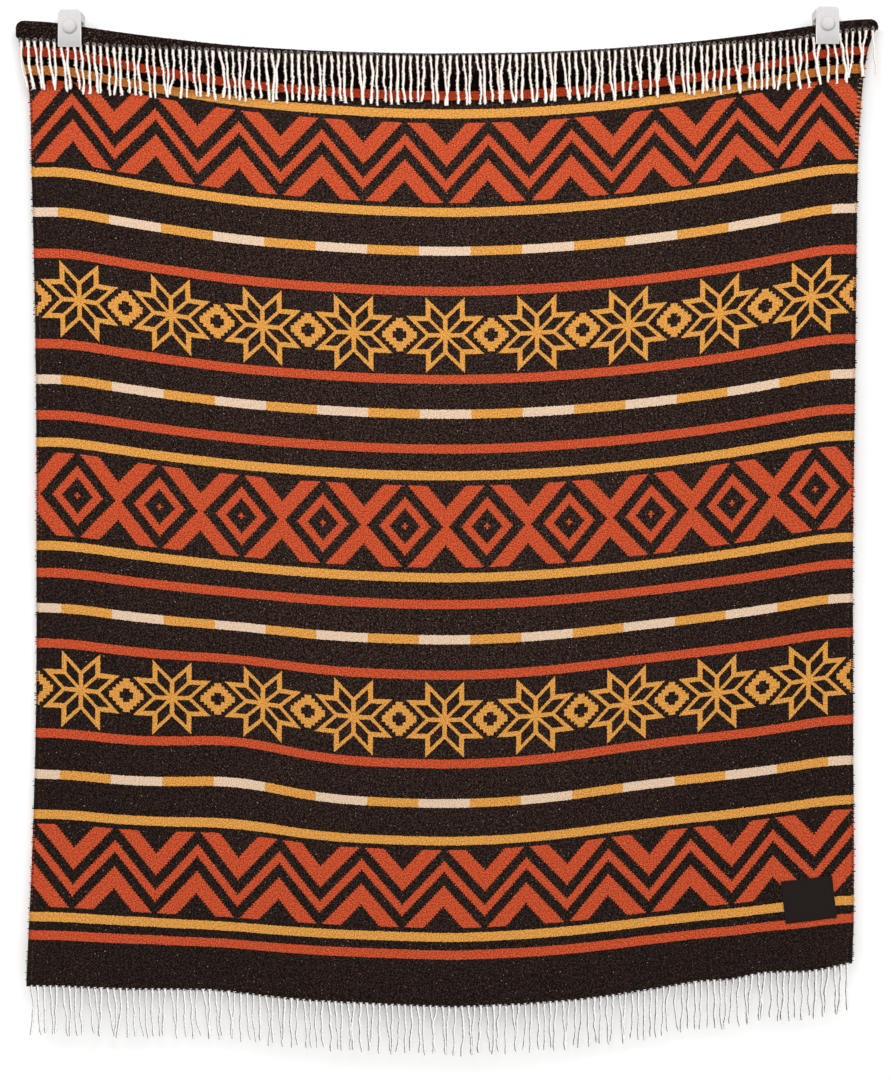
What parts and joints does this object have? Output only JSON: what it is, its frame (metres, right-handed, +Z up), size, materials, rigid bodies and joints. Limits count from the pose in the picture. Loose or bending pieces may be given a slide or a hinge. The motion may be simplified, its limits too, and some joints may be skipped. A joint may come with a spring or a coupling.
{
  "type": "fringed throw blanket hung from wall clips",
  "caption": "Fringed woven throw blanket, hung face-on by its folded top end from spring clips that fasten to a wall.",
  "frame": {"origin": "on the plane of the wall, midway between the bosses of the clips", "axes": "+Z up, +Y into the wall, so the front of the cloth faces -Y"},
  "size_m": [1.335, 0.0278, 1.6235],
  "materials": {
    "woven_cloth": "napped jacquard weave, dark ground with rust, ochre and cream bands",
    "fringe_yarn": "twisted natural white yarn",
    "label_tape": "smooth woven tape, blank",
    "clip_plastic": "satin moulded, pale grey",
    "clip_steel": "bright wire"
  },
  "bodies": {
    "root": {"blanket": "woven_cloth", "top_fringe": "fringe_yarn", "bottom_fringe": "fringe_yarn", "label_patch": "label_tape", "left_clip_base": "clip_plastic", "left_clip_front": "clip_plastic", "left_clip_pin": "clip_steel", "left_clip_spring": "clip_steel", "right_clip_base": "clip_plastic", "right_clip_front": "clip_plastic", "right_clip_pin": "clip_steel", "right_clip_spring": "clip_steel"}
  },
  "joints": []
}
